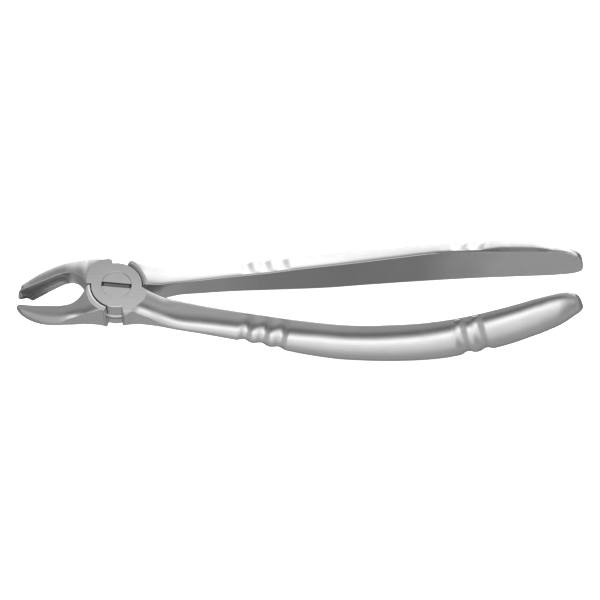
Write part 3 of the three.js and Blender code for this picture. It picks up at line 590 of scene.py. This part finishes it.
def half(layer, beak_side, tip, root, end, beak_sector, handle_sector, beak_flat, handle_flat, name):
    fine = 1.0

    def beak_spacing(x):
        return fine * (0.14 if x > -13 else 0.2 if x > -26.5 else 0.1)

    def handle_spacing(x):
        if x < 18:
            return fine * 0.2
        if any(abs(x - g[0]) < 5 for g in GROOVES):
            return fine * 0.28
        return fine * (0.5 if x < 125 else 0.25)

    bx = curve((BEAK + tip)[::-1], lambda x: 0.12 if x < -26.9 else 0.5 if x < -14 else 0.85, beak_spacing)
    hx = curve(
        root + HANDLE + end,
        lambda x: float(np.interp(x, [0, 6, 14, 30, 120, 128, 131, 136, 140], [0.4, 0.6, 1.2, 3.2, 3.2, 1.6, 0.5, 0.4, 0.3])),
        handle_spacing,
    )
    bx[:, YO] += np.interp(bx[:, X], *FULLER_BEAK[layer])
    if layer < 0:
        bx[:, YI] -= 0.25 * np.exp(-(((bx[:, X] + 17.5) / 4.5) ** 2))
    beak = skin(sections(bx, beak_side, 96, 64, 5, teeth=0.13), beak_side < 0, 96, FLUTED)
    hx[:, YO] += np.interp(hx[:, X], *FULLER[layer])
    if layer > 0:
        hx[:, TOP] += np.interp(hx[:, X], *FRONT_EDGE)
    else:
        hx[:, BOT] += np.interp(hx[:, X], *BACK_EDGE)
        hx[:, TOP] += np.interp(hx[:, X], *BACK_TOP)
    hx[:, 9] += np.interp(hx[:, X], *KEEN[layer])
    hx[:, RF] = np.interp(hx[:, X], *EDGE[layer])
    wide = np.interp(hx[:, X], *BEVEL) if layer < 0 else None
    handle = skin(sections(hx, -beak_side, 16, 72, 10, grooves=GROOVES, wide=wide), -beak_side < 0, 16, INNER)
    beak = cut(
        beak,
        [
            ("DIFFERENCE", notch_and_flat(beak_flat, beak_side, beak_sector[0])),
            ("DIFFERENCE", inner_limit(beak_side, beak_sector[1])),
        ],
        name + "_beak",
    )
    handle = cut(
        handle,
        [
            ("DIFFERENCE", notch_and_flat(handle_flat, -beak_side, handle_sector[0])),
            ("DIFFERENCE", inner_limit(-beak_side, handle_sector[1])),
        ],
        name + "_handle",
    )
    s = layer
    # the recess that the other half's disc turns in, with a broken edge at the joint's face
    far = -BACK_T if s > 0 else HALF_T
    near = s * LAP_GAP / 2
    rim = 0.3
    recess = turned(
        [(0, near), (RECESS_R, near), (RECESS_R, far + s * rim), (RECESS_R + 2 * (rim + 1.0), far - s * 1.0), (0, far - s * 1.0)], 240
    )
    # the lower walls of the gap get the painted shade steel, a darker colour that stands for the shade deep in the gap;
    # its broken edge keeps the ground steel
    low = np.abs(recess.v[recess.t][:, :, 2]).max(1) < abs(far) - rim + 0.01
    recess.kind[low & (np.abs(recess.n[:, 0, 2]) < 0.1)] = PAINTED_SHADE
    # this half's own disc, with its edges broken
    lip = 0.12
    zi, zo = s * LAP_GAP / 2, HALF_T if s > 0 else -BACK_T
    if s > 0:
        own = [(0, zi), (DISC_R - 0.12, zi), (DISC_R, zi + 0.12), (DISC_R, zo - lip), (DISC_R - lip, zo), (0, zo)]
    else:
        own = [
            (0, zo), (DISC_R - lip, zo), (DISC_R, zo + lip), (DISC_R, -2.5), (DISC_R - 0.3, -2.5), (DISC_R - 0.3, -2.2),
            (DISC_R, -2.2), (DISC_R, -1.35), (DISC_R - 0.3, -0.9), (DISC_R - 0.3, zi), (0, zi),
        ]
    steps = [
        ("UNION", handle),
        ("DIFFERENCE", disc(FACE_R, HALF_T, 30)),
        ("DIFFERENCE", disc(FACE_R, -30, -BACK_T)),
        ("DIFFERENCE", recess),
        ("UNION", turned(own, 240)),
        ("DIFFERENCE", disc(BORE_R, -20, 20, 96)),
    ]
    if s > 0:
        seat = HALF_T - HEAD_SINK - HEAD_T - 0.3
        steps.append(
            (
                "DIFFERENCE",
                turned([(0, seat), (HEAD_R + 0.02, seat), (HEAD_R + 0.02, HALF_T - 0.06), (HEAD_R + 1.08, HALF_T + 1.0), (0, HALF_T + 1.0)], 160),
            )
        )
    return cut(beak, steps, name)


def screw():
    top = HALF_T - HEAD_SINK
    under = top - HEAD_T
    body = turned(
        [
            (0, -BACK_T), (SHANK_R - 0.1, -BACK_T), (SHANK_R, -BACK_T + 0.1), (SHANK_R, under), (HEAD_R - 0.05, under),
            (HEAD_R, under + 0.05), (HEAD_R, top - 0.08), (HEAD_R - 0.08, top), (0, top),
        ],
        160,
    )
    # a milled slot with a round bottom and broken top edges, its faces coloured with painted shade
    w, r, deep = SLOT_W / 2, 0.6, SLOT_DEPTH
    outline = [(w + 1.05, top + 1.0), (w + 0.07, top + 0.02), (w, top - 0.07)]
    outline += [(w - r + r * math.cos(q), top - deep + r - r * math.sin(q)) for q in np.linspace(0, math.pi / 2, 10)]
    outline += [(-x, z) for x, z in outline[::-1]]
    steps = [("DIFFERENCE", bar(outline, HEAD_R + 1, math.radians(SLOT_ANGLE), PAINTED_SHADE))]
    # the slot runs out into a deeper nick at each end, also coloured with painted shade
    c, sn = math.cos(math.radians(SLOT_ANGLE)), math.sin(math.radians(SLOT_ANGLE))
    for d in (-1, 1):
        nick = [(d * 3.9, -w), (d * 4.8, -w), (d * 4.8, w), (d * 3.9, w)]
        steps.append(("DIFFERENCE", prism([(x * c - y * sn, x * sn + y * c) for x, y in nick], under + 0.1, top + 1, PAINTED_SHADE)))
    return cut(body, steps, "screw")


# ---- finished objects --------------------------------------------------------------------------
def finished(name, solid, materials):
    """Object in metres that keeps the normals its surfaces were made with."""
    v, t, ok = weld(solid.v, solid.t, 2e-4)
    n, kind = solid.n[ok], solid.kind[ok]
    v = v * 1e-3
    v[:, 2] += HALF_T * 1e-3
    fn = face_normals(v, t)
    ln = np.linalg.norm(n, axis=2)
    wrong = (ln < 0.3) | (np.einsum("ijk,ik->ij", n, fn) < 0.0)
    n[wrong] = np.repeat(fn[:, None], 3, 1)[wrong]
    n /= np.linalg.norm(n, axis=2)[..., None]
    # the ground joint faces are a shade hollow from grinding
    face = (kind == GROUND) & (np.abs(fn[:, 2]) > 0.999)
    n[face, :, 1] -= DISH * np.sign(fn[face, 2])[:, None] * v[t][face][:, :, 1] / 0.009
    n /= np.linalg.norm(n, axis=2)[..., None]
    me = tri_mesh(name, v, t)
    me.polygons.foreach_set("use_smooth", np.ones(len(t), bool))
    slots = [k for k in (SATIN, GROUND, FLUTED, PAINTED_SHADE, INNER) if np.any(kind == k)]
    for k in slots:
        me.materials.append(materials[k])
    me.polygons.foreach_set("material_index", np.searchsorted(slots, kind).astype(np.int32))
    me.normals_split_custom_set(n.reshape(-1, 3).tolist())
    me.update()
    print(name, len(t), "triangles")
    return thing(name, me)


# ---- materials ---------------------------------------------------------------------------------
def linked(nt, kind, **values):
    n = nt.nodes.new(kind)
    for k, v in values.items():
        if k in n.inputs.keys():
            n.inputs[k].default_value = v
        else:
            setattr(n, k, v)
    return n


def steel(name, base, rough, brush=1.0, grain=1.0, dark=None, dark_from=0.0, along=None):
    """Stainless steel: a fine grain, lines drawn along the instrument and a faint unevenness.
    With dark given, it is that colour up to a place along X and turns to base over 1.5 mm; this is painted shade."""
    m = bpy.data.materials.new(name)
    m.use_nodes = True
    nt = m.node_tree
    L = nt.links.new
    bsdf = nt.nodes["Principled BSDF"]
    bsdf.inputs["Metallic"].default_value = 1.0
    tc = linked(nt, "ShaderNodeTexCoord")
    lines = linked(nt, "ShaderNodeMapping")
    lines.inputs["Scale"].default_value = (90, 2600, 2600)
    L(tc.outputs["Object"], lines.inputs["Vector"])
    drawn = linked(nt, "ShaderNodeTexNoise", Scale=1.0, Detail=4.0, Roughness=0.6)
    L(lines.outputs[0], drawn.inputs["Vector"])
    fine = linked(nt, "ShaderNodeTexNoise", Scale=5200.0, Detail=2.0, Roughness=0.5)
    L(tc.outputs["Object"], fine.inputs["Vector"])
    cloud = linked(nt, "ShaderNodeTexNoise", Scale=110.0, Detail=3.0, Roughness=0.55)
    L(tc.outputs["Object"], cloud.inputs["Vector"])
    # colour: base, a little uneven, with darker drawn lines
    tone = linked(nt, "ShaderNodeMapRange")
    tone.inputs["From Min"].default_value = 0.3
    tone.inputs["From Max"].default_value = 0.7
    tone.inputs["To Min"].default_value = base * 0.965
    tone.inputs["To Max"].default_value = base * 1.035
    L(cloud.outputs["Fac"], tone.inputs["Value"])
    streak = linked(nt, "ShaderNodeMapRange")
    streak.inputs["From Min"].default_value = 0.3
    streak.inputs["From Max"].default_value = 0.7
    streak.inputs["To Min"].default_value = 1 - 0.035 * brush
    streak.inputs["To Max"].default_value = 1 + 0.035 * brush
    L(drawn.outputs["Fac"], streak.inputs["Value"])
    mul = linked(nt, "ShaderNodeMath", operation="MULTIPLY")
    L(tone.outputs[0], mul.inputs[0])
    L(streak.outputs[0], mul.inputs[1])
    value = mul.outputs[0]
    rough_out = None
    if along is not None:
        # painted reflection: the inner face's colour is darkened in its middle, standing for the other handle reflected
        # there
        sep = linked(nt, "ShaderNodeSeparateXYZ")
        L(tc.outputs["Object"], sep.inputs[0])
        ramp = linked(nt, "ShaderNodeValToRGB")
        ramp.color_ramp.interpolation = "EASE"
        run = linked(nt, "ShaderNodeMapRange")
        run.inputs["From Max"].default_value = 0.14
        L(sep.outputs["X"], run.inputs["Value"])
        L(run.outputs[0], ramp.inputs[0])
        el = ramp.color_ramp.elements
        while len(el) > 1:
            el.remove(el[-1])
        for i, (x, f) in enumerate(along):
            e = el[0] if i == 0 else el.new(x / 0.14)
            e.position = x / 0.14
            e.color = (f, f, f, 1)
        painted_reflection_dim = linked(nt, "ShaderNodeMath", operation="MULTIPLY")
        L(value, painted_reflection_dim.inputs[0])
        L(ramp.outputs[0], painted_reflection_dim.inputs[1])
        value = painted_reflection_dim.outputs[0]
    # painted shade: the base colour is darkened up to a place along X, standing for the shade in the beak's hollow
    # towards the tip
    if dark is not None:
        sep = linked(nt, "ShaderNodeSeparateXYZ")
        L(tc.outputs["Object"], sep.inputs[0])
        far = linked(nt, "ShaderNodeMapRange", interpolation_type="SMOOTHSTEP")
        far.inputs["From Min"].default_value = dark_from
        far.inputs["From Max"].default_value = dark_from + 0.0015
        L(sep.outputs["X"], far.inputs["Value"])
        dim = linked(nt, "ShaderNodeMapRange")
        dim.inputs["To Min"].default_value = dark / base
        dim.inputs["To Max"].default_value = 1.0
        L(far.outputs[0], dim.inputs["Value"])
        mul2 = linked(nt, "ShaderNodeMath", operation="MULTIPLY")
        L(value, mul2.inputs[0])
        L(dim.outputs[0], mul2.inputs[1])
        value = mul2.outputs[0]
    tint = linked(nt, "ShaderNodeCombineColor")
    for k in ("Red", "Green", "Blue"):
        L(value, tint.inputs[k])
    L(tint.outputs[0], bsdf.inputs["Base Color"])
    # roughness: uneven by about a tenth
    spread = linked(nt, "ShaderNodeMapRange")
    spread.inputs["From Min"].default_value = 0.3
    spread.inputs["From Max"].default_value = 0.7
    spread.inputs["To Min"].default_value = rough * 0.9
    spread.inputs["To Max"].default_value = rough * 1.1
    mixed = linked(nt, "ShaderNodeMath", operation="ADD")
    half_c = linked(nt, "ShaderNodeMath", operation="MULTIPLY")
    half_c.inputs[1].default_value = 0.5
    half_d = linked(nt, "ShaderNodeMath", operation="MULTIPLY")
    half_d.inputs[1].default_value = 0.5
    L(cloud.outputs["Fac"], half_c.inputs[0])
    L(drawn.outputs["Fac"], half_d.inputs[0])
    L(half_c.outputs[0], mixed.inputs[0])
    L(half_d.outputs[0], mixed.inputs[1])
    L(mixed.outputs[0], spread.inputs["Value"])
    L(spread.outputs[0], bsdf.inputs["Roughness"])
    # relief: drawn lines under a finer grain
    b1 = linked(nt, "ShaderNodeBump")
    b1.inputs["Strength"].default_value = 1.0
    b1.inputs["Distance"].default_value = 1.6e-6 * brush
    L(drawn.outputs["Fac"], b1.inputs["Height"])
    b2 = linked(nt, "ShaderNodeBump")
    b2.inputs["Strength"].default_value = 1.0
    b2.inputs["Distance"].default_value = 1.2e-6 * grain
    L(fine.outputs["Fac"], b2.inputs["Height"])
    L(b1.outputs[0], b2.inputs["Normal"])
    L(b2.outputs[0], bsdf.inputs["Normal"])
    return m


# ---- build -------------------------------------------------------------------------------------
steels = {
    SATIN: steel("satin_steel", 0.62, 0.21),
    GROUND: steel("ground_steel", 0.62, 0.27, brush=0.5, grain=1.6),
    # painted shade: the flute's colour is darker towards the tip, where the beak's hollow lies in shade
    FLUTED: steel("fluted_steel_painted_shade", 0.6, 0.3, brush=2.5, dark=0.31, dark_from=-0.0146),
    # painted shade: a darker, rougher steel colour for the gap walls and the screw's slot
    PAINTED_SHADE: steel("painted_shade_steel", 0.33, 0.42, brush=1.5, grain=2.0),
    # painted reflection: the inner faces' colour darkens towards the middle of the handle
    INNER: steel(
        "inner_face_steel_painted_reflection", 0.62, 0.24, brush=0.8,
        along=[(0.0, 1.0), (0.012, 0.9), (0.028, 0.74), (0.05, 0.56), (0.072, 0.52), (0.09, 0.55), (0.104, 0.78), (0.116, 0.95), (0.136, 1.0)],
    ),
}
screw_steels = dict(steels)
screw_steels[GROUND] = steel("screw_steel", 0.64, 0.25, brush=0.5, grain=1.6)
front = finished(
    "front_half_steel",
    half(1, 1, TIP_POINT, ROOT_FRONT, END_FRONT, FRONT_BEAK_SECTOR, FRONT_HANDLE_SECTOR, EAR, FOOT_FRONT, "front"),
    steels,
)
back = finished(
    "back_half_steel",
    half(-1, -1, TIP_ROUND, ROOT_BACK, END_BACK, BACK_BEAK_SECTOR, BACK_HANDLE_SECTOR, FOOT_BACK, SHOULDER, "back"),
    steels,
)
pin = finished("joint_screw_steel", screw(), screw_steels)
for o, body, cad, slot in (
    (front, "front_half", "front_half", "satin_steel"),
    (back, "back_half", "back_half", "satin_steel"),
    (pin, "back_half", "pivot_screw", "screw_steel"),
):
    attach(o, body)
    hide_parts(cad)

# ---- floor, light, camera ----------------------------------------------------------------------
FLOOR_Z = CAD_BOX[0][2] - 0.0001
fv = np.array([[-8, -8, FLOOR_Z], [8, -8, FLOOR_Z], [8, 8, FLOOR_Z], [-8, 8, FLOOR_Z]])
floor = thing("floor", tri_mesh("floor", fv, np.array([[0, 1, 2], [0, 2, 3]])))
fm = bpy.data.materials.new("pale_floor")
fm.use_nodes = True
fm.node_tree.nodes["Principled BSDF"].inputs["Base Color"].default_value = (0.92, 0.92, 0.92, 1)
fm.node_tree.nodes["Principled BSDF"].inputs["Roughness"].default_value = 0.9
fm.node_tree.nodes["Principled BSDF"].inputs["Specular IOR Level"].default_value = 0.1
fm.node_tree.nodes["Principled BSDF"].inputs["Emission Color"].default_value = (1, 1, 1, 1)
fm.node_tree.nodes["Principled BSDF"].inputs["Emission Strength"].default_value = 0.8
floor.data.materials.append(fm)
floor.visible_glossy = False


# The studio round the instrument, as brightness against the direction round its long axis (0 is
# straight up, positive towards the viewer's side) on four lengthwise bearings of the light.
STUDIO = [
    (-0.76, [
        (-180, 0.25), (-140, 0.25), (-120, 0.35), (-92, 0.16), (-72, 0.1), (-55, 0.22), (-38, 0.4), (0, 0.42), (10, 0.36),
        (30, 0.42), (46, 0.45), (62, 0.66), (75, 0.56), (95, 0.6), (128, 0.56), (150, 0.38), (165, 0.28),
    ]),
    (-0.62, [
        (-180, 0.25), (-140, 0.25), (-120, 0.35), (-92, 0.16), (-72, 0.1), (-55, 0.22), (-38, 0.4), (0, 0.4), (9, 0.31),
        (17, 0.24), (28, 0.27), (38, 0.38), (46, 0.45), (62, 0.66), (75, 0.56), (95, 0.6), (128, 0.56), (150, 0.38), (165, 0.28),
    ]),
    (-0.25, [
        (-180, 0.3), (-165, 0.25), (-145, 0.3), (-130, 0.9), (-100, 1.1), (-66, 1.28), (-52, 0.98), (-38, 0.55), (-26, 0.4),
        (-8, 0.42), (5, 0.38), (14, 0.22), (25, 0.12), (36, 0.4), (44, 1.0), (51, 1.8), (60, 1.75), (70, 1.35), (80, 1.15), (95, 0.88),
        (115, 0.6), (140, 0.5), (156, 0.46), (172, 0.34),
    ]),
    (0.04, [
        (-180, 0.3), (-165, 0.25), (-147, 0.35), (-132, 1.2), (-110, 1.8), (-60, 1.95), (-45, 1.6), (-35, 0.95), (-27, 0.45),
        (-15, 0.52), (-4, 0.52), (8, 0.38), (16, 0.22), (25, 0.24), (34, 0.62), (42, 1.25), (48, 1.75), (55, 1.5), (63, 1.15), (71, 1.04),
        (85, 1.0), (98, 0.93), (110, 0.8), (120, 0.64), (131, 0.51), (145, 0.45), (160, 0.42),
    ]),
    (0.2, [
        (-180, 0.3), (-165, 0.25), (-147, 0.32), (-132, 0.95), (-110, 1.5), (-60, 1.85), (-45, 1.5), (-35, 0.9), (-27, 0.45),
        (-15, 0.5), (-4, 0.54), (8, 0.4), (17, 0.19), (27, 0.21), (35, 0.62), (43, 1.25), (51, 1.6), (61, 1.32), (73, 1.06),
        (88, 0.88), (102, 0.74), (114, 0.62), (128, 0.51), (145, 0.46), (160, 0.42),
    ]),
    (0.4, [
        (-180, 0.3), (-147, 0.25), (-130, 0.5), (-110, 1.0), (-62, 1.65), (-46, 1.4), (-35, 0.75), (-27, 0.45),
        (-15, 0.5), (-4, 0.54), (8, 0.4), (17, 0.19), (27, 0.21), (35, 0.62), (43, 1.25), (54, 1.5), (66, 1.35), (78, 1.05),
        (92, 0.8), (108, 0.62), (125, 0.5), (145, 0.46), (160, 0.42),
    ]),
    (0.7, [
        (-180, 0.3), (-145, 0.25), (-112, 0.2), (-94, 0.24), (-82, 0.6), (-70, 1.3), (-46, 1.3), (-34, 0.5), (-22, 0.4),
        (-5, 0.57), (14, 0.38), (28, 0.3), (42, 0.6), (52, 0.75), (66, 0.7), (90, 0.5), (105, 0.4), (130, 0.45), (152, 0.5),
        (170, 0.38),
    ]),
]


def studio_world():
    w = bpy.data.worlds.new("studio")
    bpy.context.scene.world = w
    w.use_nodes = True
    nt = w.node_tree
    nt.nodes.clear()
    L = nt.links.new
    tc = linked(nt, "ShaderNodeTexCoord")
    sep = linked(nt, "ShaderNodeSeparateXYZ")
    L(tc.outputs["Generated"], sep.inputs[0])
    neg = linked(nt, "ShaderNodeMath", operation="MULTIPLY")
    neg.inputs[1].default_value = -1
    L(sep.outputs["Y"], neg.inputs[0])
    at = linked(nt, "ShaderNodeMath", operation="ARCTAN2")
    L(neg.outputs[0], at.inputs[0])
    L(sep.outputs["Z"], at.inputs[1])
    turn = linked(nt, "ShaderNodeMapRange")
    turn.inputs["From Min"].default_value = -math.pi
    turn.inputs["From Max"].default_value = math.pi
    L(at.outputs[0], turn.inputs["Value"])
    value, last = None, None
    for bearing, stops in STUDIO:
        ramp = linked(nt, "ShaderNodeValToRGB")
        ramp.color_ramp.interpolation = "LINEAR"
        L(turn.outputs[0], ramp.inputs[0])
        el = ramp.color_ramp.elements
        while len(el) > 1:
            el.remove(el[-1])
        # the ramp starts and ends at the same brightness, straight below
        for i, (b, v) in enumerate(stops + [(180, stops[0][1])]):
            e = el[0] if i == 0 else el.new((b + 180) / 360)
            e.position = (b + 180) / 360
            e.color = (v / 2, v / 2, v / 2, 1)
        if value is None:
            value = ramp.outputs[0]
        else:
            part = linked(nt, "ShaderNodeMapRange")
            part.inputs["From Min"].default_value = last
            part.inputs["From Max"].default_value = bearing
            L(sep.outputs["X"], part.inputs["Value"])
            mix = linked(nt, "ShaderNodeMix", data_type="RGBA")
            L(part.outputs[0], mix.inputs["Factor"])
            L(value, mix.inputs[6])
            L(ramp.outputs[0], mix.inputs[7])
            value = mix.outputs[2]
        last = bearing
    # both ends of the axis fade to one grey, so the bearings don't meet in a star
    end = linked(nt, "ShaderNodeMath", operation="ABSOLUTE")
    L(sep.outputs["X"], end.inputs[0])
    fade = linked(nt, "ShaderNodeMapRange", interpolation_type="SMOOTHSTEP")
    fade.inputs["From Min"].default_value = 0.86
    fade.inputs["From Max"].default_value = 0.99
    L(end.outputs[0], fade.inputs["Value"])
    mix = linked(nt, "ShaderNodeMix", data_type="RGBA")
    L(fade.outputs[0], mix.inputs["Factor"])
    L(value, mix.inputs[6])
    mix.inputs[7].default_value = (0.23, 0.23, 0.23, 1)
    lit = linked(nt, "ShaderNodeBackground", Strength=2.0)
    L(mix.outputs[2], lit.inputs["Color"])
    plain = linked(nt, "ShaderNodeBackground", Strength=1.0)
    plain.inputs["Color"].default_value = (1, 1, 1, 1)
    lp = linked(nt, "ShaderNodeLightPath")
    pick = linked(nt, "ShaderNodeMixShader")
    L(lp.outputs["Is Camera Ray"], pick.inputs[0])
    L(lit.outputs[0], pick.inputs[1])
    L(plain.outputs[0], pick.inputs[2])
    out = linked(nt, "ShaderNodeOutputWorld")
    L(pick.outputs[0], out.inputs["Surface"])


studio_world()

fill = bpy.data.lights.new("floor_fill", "AREA")
fill.shape = "DISK"
fill.size = 1.6
fill.energy = 30
fo = bpy.data.objects.new("floor_fill", fill)
fo.location = (0.055, 0.0, 1.4)
fo.visible_glossy = False
bpy.context.scene.collection.objects.link(fo)

cam_data = bpy.data.cameras.new("photo_view")
cam_data.sensor_width = 36
cam_data.lens = 800
cam = bpy.data.objects.new("photo_view", cam_data)
tilt = math.radians(30)
aim = (0.05505, -0.00253, HALF_T * 1e-3)
cam.location = (aim[0], aim[1] - 4 * math.sin(tilt), aim[2] + 4 * math.cos(tilt))
cam.rotation_euler = (tilt, 0, 0)
cam_data.clip_start = 0.1
cam_data.clip_end = 60
bpy.context.scene.collection.objects.link(cam)
bpy.context.scene.camera = cam
bpy.context.scene.view_settings.view_transform = "Standard"
bpy.context.scene.view_settings.look = "None"
